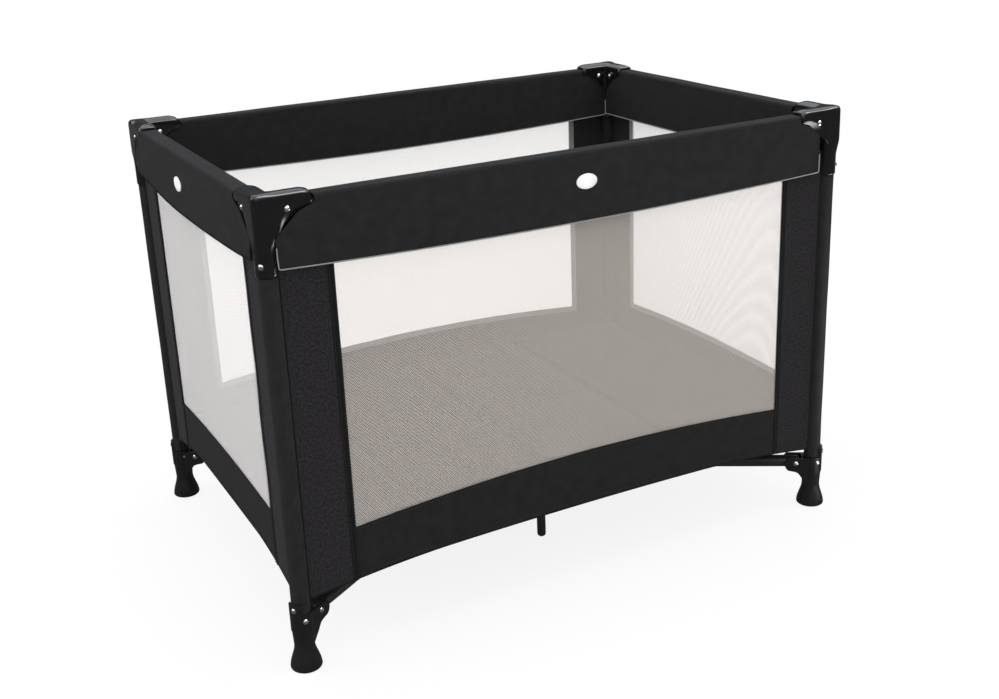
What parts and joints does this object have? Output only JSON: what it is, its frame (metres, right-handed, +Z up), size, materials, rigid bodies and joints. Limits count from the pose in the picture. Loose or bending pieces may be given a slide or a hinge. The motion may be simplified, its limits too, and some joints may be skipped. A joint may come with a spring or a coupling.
{
  "type": "folding playpen",
  "caption": "Folding travel cot with padded top bands, net sides, fabric corners, a drop-centre base and a folding mattress.",
  "frame": {"origin": "on the floor under the middle of the opened pen", "axes": "+X along the long sides to the right, +Y from the front side to the back side, +Z up"},
  "size_m": [1.0702, 0.7422, 0.76],
  "materials": {
    "leg_steel": "satin",
    "rail_steel": "satin",
    "base_steel": "satin",
    "housing_plastic": "gloss",
    "foot_plastic": "semi-gloss",
    "latch_plastic": "moulded",
    "button_plastic": "moulded",
    "hub_plastic": "moulded",
    "rivet_steel": "bright",
    "wall_cloth": "woven",
    "net_mesh": "open knit",
    "band_cloth": "woven, padded",
    "floor_cloth": "woven",
    "strap_web": "webbing",
    "mattress_cloth": "quilted"
  },
  "bodies": {
    "leg_front_left": {"leg_tube_front_left": "leg_steel", "corner_housing_front_left": "housing_plastic", "foot_front_left": "foot_plastic", "leg_rivets_front_left": "rivet_steel", "wall_front": "wall_cloth", "net_front": "net_mesh", "top_band_front": "band_cloth", "wall_left": "wall_cloth", "net_left": "net_mesh", "top_band_left": "band_cloth"},
    "leg_front_right": {"leg_tube_front_right": "leg_steel", "corner_housing_front_right": "housing_plastic", "foot_front_right": "foot_plastic", "leg_rivets_front_right": "rivet_steel", "wall_right": "wall_cloth", "net_right": "net_mesh", "top_band_right": "band_cloth"},
    "leg_back_left": {"leg_tube_back_left": "leg_steel", "corner_housing_back_left": "housing_plastic", "foot_back_left": "foot_plastic", "leg_rivets_back_left": "rivet_steel", "wall_back": "wall_cloth", "net_back": "net_mesh", "top_band_back": "band_cloth"},
    "leg_back_right": {"leg_tube_back_right": "leg_steel", "corner_housing_back_right": "housing_plastic", "foot_back_right": "foot_plastic", "leg_rivets_back_right": "rivet_steel"},
    "base_front_left": {"base_tube_front_left": "base_steel"},
    "base_front_right": {"base_tube_front_right": "base_steel"},
    "base_back_left": {"base_tube_back_left": "base_steel"},
    "base_back_right": {"base_tube_back_right": "base_steel"},
    "hub": {"hub": "hub_plastic", "hub_pins": "rivet_steel", "pull_strap": "strap_web", "floor_sheet": "floor_cloth"},
    "rail_front_left": {"top_rail_front_left": "rail_steel"},
    "rail_front_right": {"top_rail_front_right": "rail_steel"},
    "rail_back_left": {"top_rail_back_left": "rail_steel"},
    "rail_back_right": {"top_rail_back_right": "rail_steel"},
    "rail_left_front": {"top_rail_left_front": "rail_steel"},
    "rail_left_back": {"top_rail_left_back": "rail_steel"},
    "rail_right_front": {"top_rail_right_front": "rail_steel"},
    "rail_right_back": {"top_rail_right_back": "rail_steel"},
    "latch_front": {"latch_front": "latch_plastic"},
    "button_front": {"latch_button_front": "button_plastic"},
    "latch_right": {"latch_right": "latch_plastic"},
    "button_right": {"latch_button_right": "button_plastic"},
    "latch_back": {"latch_back": "latch_plastic"},
    "button_back": {"latch_button_back": "button_plastic"},
    "latch_left": {"latch_left": "latch_plastic"},
    "button_left": {"latch_button_left": "button_plastic"},
    "support_front": {"support_leg_front": "base_steel"},
    "support_back": {"support_leg_back": "base_steel"},
    "mattress_1": {"mattress_panel_1": "mattress_cloth"},
    "mattress_2": {"mattress_panel_2": "mattress_cloth"},
    "mattress_3": {"mattress_panel_3": "mattress_cloth"},
    "mattress_4": {"mattress_panel_4": "mattress_cloth"}
  },
  "joints": [
    {"name": "frame_fold", "type": "hinge", "parent": "leg_front_left", "child": "base_front_left", "pos_m": [-0.48384, -0.32937, 0.086], "axis": [0.5364, -0.844, 0], "range_deg": [0, 84], "deforming": ["wall_front", "net_front", "top_band_front", "wall_back", "net_back", "top_band_back", "wall_left", "net_left", "top_band_left", "wall_right", "net_right", "top_band_right", "floor_sheet", "mattress_panel_1", "mattress_panel_2", "mattress_panel_3", "mattress_panel_4"]},
    {"name": "hub_pivot_front_left", "type": "hinge", "parent": "base_front_left", "child": "hub", "pos_m": [-0.03384, -0.04337, 0.086], "axis": [0.5364, -0.844, 0], "range_deg": [-84, 0]},
    {"name": "hub_pivot_front_right", "type": "hinge", "parent": "hub", "child": "base_front_right", "pos_m": [0.03384, -0.04337, 0.086], "axis": [0.5364, 0.844, 0], "range_deg": [0, 84]},
    {"name": "foot_pivot_front_right", "type": "hinge", "parent": "base_front_right", "child": "leg_front_right", "pos_m": [0.48384, -0.32937, 0.086], "axis": [0.5364, 0.844, 0], "range_deg": [-84, 0]},
    {"name": "hub_pivot_back_left", "type": "hinge", "parent": "hub", "child": "base_back_left", "pos_m": [-0.03384, 0.04337, 0.086], "axis": [-0.5364, -0.844, 0], "range_deg": [0, 84]},
    {"name": "foot_pivot_back_left", "type": "hinge", "parent": "base_back_left", "child": "leg_back_left", "pos_m": [-0.48384, 0.32937, 0.086], "axis": [-0.5364, -0.844, 0], "range_deg": [-84, 0]},
    {"name": "hub_pivot_back_right", "type": "hinge", "parent": "hub", "child": "base_back_right", "pos_m": [0.03384, 0.04337, 0.086], "axis": [-0.5364, 0.844, 0], "range_deg": [0, 84]},
    {"name": "foot_pivot_back_right", "type": "hinge", "parent": "base_back_right", "child": "leg_back_right", "pos_m": [0.48384, 0.32937, 0.086], "axis": [-0.5364, 0.844, 0], "range_deg": [-84, 0]},
    {"name": "rail_pivot_front_left", "type": "hinge", "parent": "leg_front_left", "child": "rail_front_left", "pos_m": [-0.477, -0.346, 0.735], "axis": [0, 1, 0], "range_deg": [0, 84]},
    {"name": "rail_pivot_front_right", "type": "hinge", "parent": "leg_front_right", "child": "rail_front_right", "pos_m": [0.477, -0.346, 0.735], "axis": [0, -1, 0], "range_deg": [0, 84]},
    {"name": "rail_pivot_back_left", "type": "hinge", "parent": "leg_back_left", "child": "rail_back_left", "pos_m": [-0.477, 0.346, 0.735], "axis": [0, 1, 0], "range_deg": [0, 84]},
    {"name": "rail_pivot_back_right", "type": "hinge", "parent": "leg_back_right", "child": "rail_back_right", "pos_m": [0.477, 0.346, 0.735], "axis": [0, -1, 0], "range_deg": [0, 84]},
    {"name": "rail_pivot_left_front", "type": "hinge", "parent": "leg_front_left", "child": "rail_left_front", "pos_m": [-0.51, -0.313, 0.735], "axis": [-1, 0, 0], "range_deg": [0, 84]},
    {"name": "rail_pivot_left_back", "type": "hinge", "parent": "leg_back_left", "child": "rail_left_back", "pos_m": [-0.51, 0.313, 0.735], "axis": [1, 0, 0], "range_deg": [0, 84]},
    {"name": "rail_pivot_right_front", "type": "hinge", "parent": "leg_front_right", "child": "rail_right_front", "pos_m": [0.51, -0.313, 0.735], "axis": [-1, 0, 0], "range_deg": [0, 84]},
    {"name": "rail_pivot_right_back", "type": "hinge", "parent": "leg_back_right", "child": "rail_right_back", "pos_m": [0.51, 0.313, 0.735], "axis": [1, 0, 0], "range_deg": [0, 84]},
    {"name": "latch_pivot_front", "type": "hinge", "parent": "rail_front_left", "child": "latch_front", "pos_m": [-0.027, -0.346, 0.735], "axis": [0, 1, 0], "range_deg": [-84, 0]},
    {"name": "latch_pivot_back", "type": "hinge", "parent": "rail_back_left", "child": "latch_back", "pos_m": [-0.027, 0.346, 0.735], "axis": [0, 1, 0], "range_deg": [-84, 0]},
    {"name": "latch_pivot_left", "type": "hinge", "parent": "rail_left_front", "child": "latch_left", "pos_m": [-0.51, -0.027, 0.735], "axis": [-1, 0, 0], "range_deg": [-84, 0]},
    {"name": "latch_pivot_right", "type": "hinge", "parent": "rail_right_front", "child": "latch_right", "pos_m": [0.51, -0.027, 0.735], "axis": [-1, 0, 0], "range_deg": [-84, 0]},
    {"name": "button_press_front", "type": "slide", "parent": "latch_front", "child": "button_front", "axis": [0, 1, 0], "range_m": [0, 0.004], "stiffness_N_per_m": 600, "springref_m": -0.002},
    {"name": "button_press_back", "type": "slide", "parent": "latch_back", "child": "button_back", "axis": [0, -1, 0], "range_m": [0, 0.004], "stiffness_N_per_m": 600, "springref_m": -0.002},
    {"name": "button_press_left", "type": "slide", "parent": "latch_left", "child": "button_left", "axis": [1, 0, 0], "range_m": [0, 0.004], "stiffness_N_per_m": 600, "springref_m": -0.002},
    {"name": "button_press_right", "type": "slide", "parent": "latch_right", "child": "button_right", "axis": [-1, 0, 0], "range_m": [0, 0.004], "stiffness_N_per_m": 600, "springref_m": -0.002},
    {"name": "support_pivot_front", "type": "hinge", "parent": "hub", "child": "support_front", "pos_m": [0.009, -0.072, 0.082], "axis": [1, 0, 0], "range_deg": [0, 84]},
    {"name": "support_pivot_back", "type": "hinge", "parent": "hub", "child": "support_back", "pos_m": [-0.009, 0.072, 0.082], "axis": [-1, 0, 0], "range_deg": [0, 84]},
    {"name": "mattress_lift", "type": "slide", "parent": "hub", "child": "mattress_2", "axis": [0, 0, 1], "range_m": [0, 0.5]},
    {"name": "mattress_fold", "type": "hinge", "parent": "mattress_2", "child": "mattress_3", "pos_m": [0, 0, 0.1715], "axis": [0, -1, 0], "range_deg": [0, 88]},
    {"name": "mattress_fold_outer_left", "type": "hinge", "parent": "mattress_2", "child": "mattress_1", "pos_m": [-0.253, 0, 0.1715], "axis": [0, 1, 0], "range_deg": [0, 88]},
    {"name": "mattress_fold_outer_right", "type": "hinge", "parent": "mattress_3", "child": "mattress_4", "pos_m": [0.253, 0, 0.1715], "axis": [0, -1, 0], "range_deg": [0, 88]}
  ],
  "couplings": [
    {"joint": "hub_pivot_front_left", "follows": "frame_fold", "ratio": -1},
    {"joint": "hub_pivot_front_right", "follows": "frame_fold", "ratio": 1},
    {"joint": "foot_pivot_front_right", "follows": "frame_fold", "ratio": -1},
    {"joint": "hub_pivot_back_left", "follows": "frame_fold", "ratio": 1},
    {"joint": "foot_pivot_back_left", "follows": "frame_fold", "ratio": -1},
    {"joint": "hub_pivot_back_right", "follows": "frame_fold", "ratio": 1},
    {"joint": "foot_pivot_back_right", "follows": "frame_fold", "ratio": -1},
    {"joint": "rail_pivot_front_left", "follows": "frame_fold", "ratio": 1},
    {"joint": "rail_pivot_front_right", "follows": "frame_fold", "ratio": 1},
    {"joint": "rail_pivot_back_left", "follows": "frame_fold", "ratio": 1},
    {"joint": "rail_pivot_back_right", "follows": "frame_fold", "ratio": 1},
    {"joint": "rail_pivot_left_front", "follows": "frame_fold", "ratio": 1},
    {"joint": "rail_pivot_left_back", "follows": "frame_fold", "ratio": 1},
    {"joint": "rail_pivot_right_front", "follows": "frame_fold", "ratio": 1},
    {"joint": "rail_pivot_right_back", "follows": "frame_fold", "ratio": 1},
    {"joint": "latch_pivot_front", "follows": "frame_fold", "ratio": -1},
    {"joint": "latch_pivot_back", "follows": "frame_fold", "ratio": -1},
    {"joint": "latch_pivot_left", "follows": "frame_fold", "ratio": -1},
    {"joint": "latch_pivot_right", "follows": "frame_fold", "ratio": -1},
    {"joint": "support_pivot_front", "follows": "frame_fold", "ratio": 1},
    {"joint": "support_pivot_back", "follows": "frame_fold", "ratio": 1},
    {"joint": "mattress_fold_outer_left", "follows": "mattress_fold", "ratio": 1},
    {"joint": "mattress_fold_outer_right", "follows": "mattress_fold", "ratio": 1}
  ]
}
